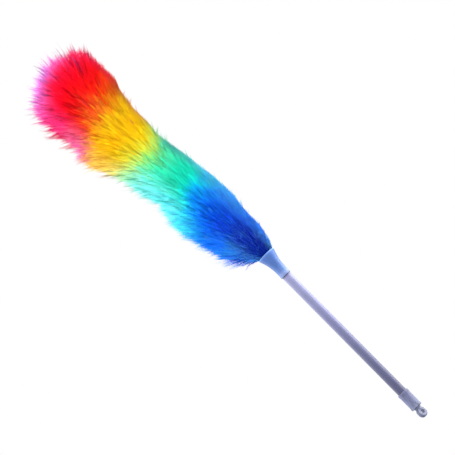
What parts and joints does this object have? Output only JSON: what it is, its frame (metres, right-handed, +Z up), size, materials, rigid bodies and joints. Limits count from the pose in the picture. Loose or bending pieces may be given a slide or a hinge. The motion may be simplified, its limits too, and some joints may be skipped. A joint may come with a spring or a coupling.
{
  "type": "feather duster",
  "caption": "Duster for sweeping dust off furniture: slim lilac plastic handle with swivelling hanging eye, flared ferrule and bendable, combed head of rainbow static fibre.",
  "frame": {"origin": "middle of the small flat at the free end of the hanging eye, on the handle's axis", "axes": "+Z runs up the handle from the hanging eye to the head; the head leans and its fibre hangs towards -X; at rest the hanging eye is turned 45 degrees about Z, so that its hole runs square to Z between +X and -Y"},
  "size_m": [0.1023, 0.0994, 0.6167],
  "materials": {
    "handle_plastic": "satin",
    "cap_plastic": "satin",
    "ferrule_plastic": "satin",
    "plug_plastic": "matte",
    "wire_steel": "satin",
    "fibre_blue": "matte",
    "fibre_green": "matte",
    "fibre_yellow": "matte",
    "fibre_red": "matte"
  },
  "bodies": {
    "handle": {"handle_tube": "handle_plastic", "ferrule": "ferrule_plastic", "end_cap": "cap_plastic", "core_plug": "plug_plastic", "wire_a_root": "wire_steel", "wire_b_root": "wire_steel"},
    "eye": {"swivel_eye": "cap_plastic"},
    "core_1": {"wire_a_1": "wire_steel", "wire_b_1": "wire_steel", "fibre_band_blue": "fibre_blue"},
    "core_2": {"wire_a_2": "wire_steel", "wire_b_2": "wire_steel", "fibre_band_green": "fibre_green"},
    "core_3": {"wire_a_3": "wire_steel", "wire_b_3": "wire_steel", "fibre_band_yellow": "fibre_yellow"},
    "core_4": {"wire_folded_tip": "wire_steel", "tip_cap": "plug_plastic", "fibre_band_red": "fibre_red"}
  },
  "joints": [
    {"name": "eye_swivel", "type": "hinge", "parent": "handle", "child": "eye", "pos_m": [0, 0, 0.0165], "axis": [0, 0, 1], "continuous": true},
    {"name": "core_bend_1", "type": "hinge", "parent": "handle", "child": "core_1", "pos_m": [0, 0, 0.272], "axis": [0, 1, 0], "range_deg": [-20, 20]},
    {"name": "core_bend_2", "type": "hinge", "parent": "core_1", "child": "core_2", "pos_m": [-0.00495, 0, 0.35786], "axis": [0, 1, 0], "range_deg": [-20, 20]},
    {"name": "core_bend_3", "type": "hinge", "parent": "core_2", "child": "core_3", "pos_m": [-0.01191, 0, 0.43153], "axis": [0, 1, 0], "range_deg": [-20, 20]},
    {"name": "core_bend_4", "type": "hinge", "parent": "core_3", "child": "core_4", "pos_m": [-0.01985, 0, 0.49906], "axis": [0, 1, 0], "range_deg": [-20, 20]}
  ],
  "couplings": [
    {"joint": "core_bend_2", "follows": "core_bend_1", "ratio": 1},
    {"joint": "core_bend_3", "follows": "core_bend_1", "ratio": 1},
    {"joint": "core_bend_4", "follows": "core_bend_1", "ratio": 1}
  ]
}
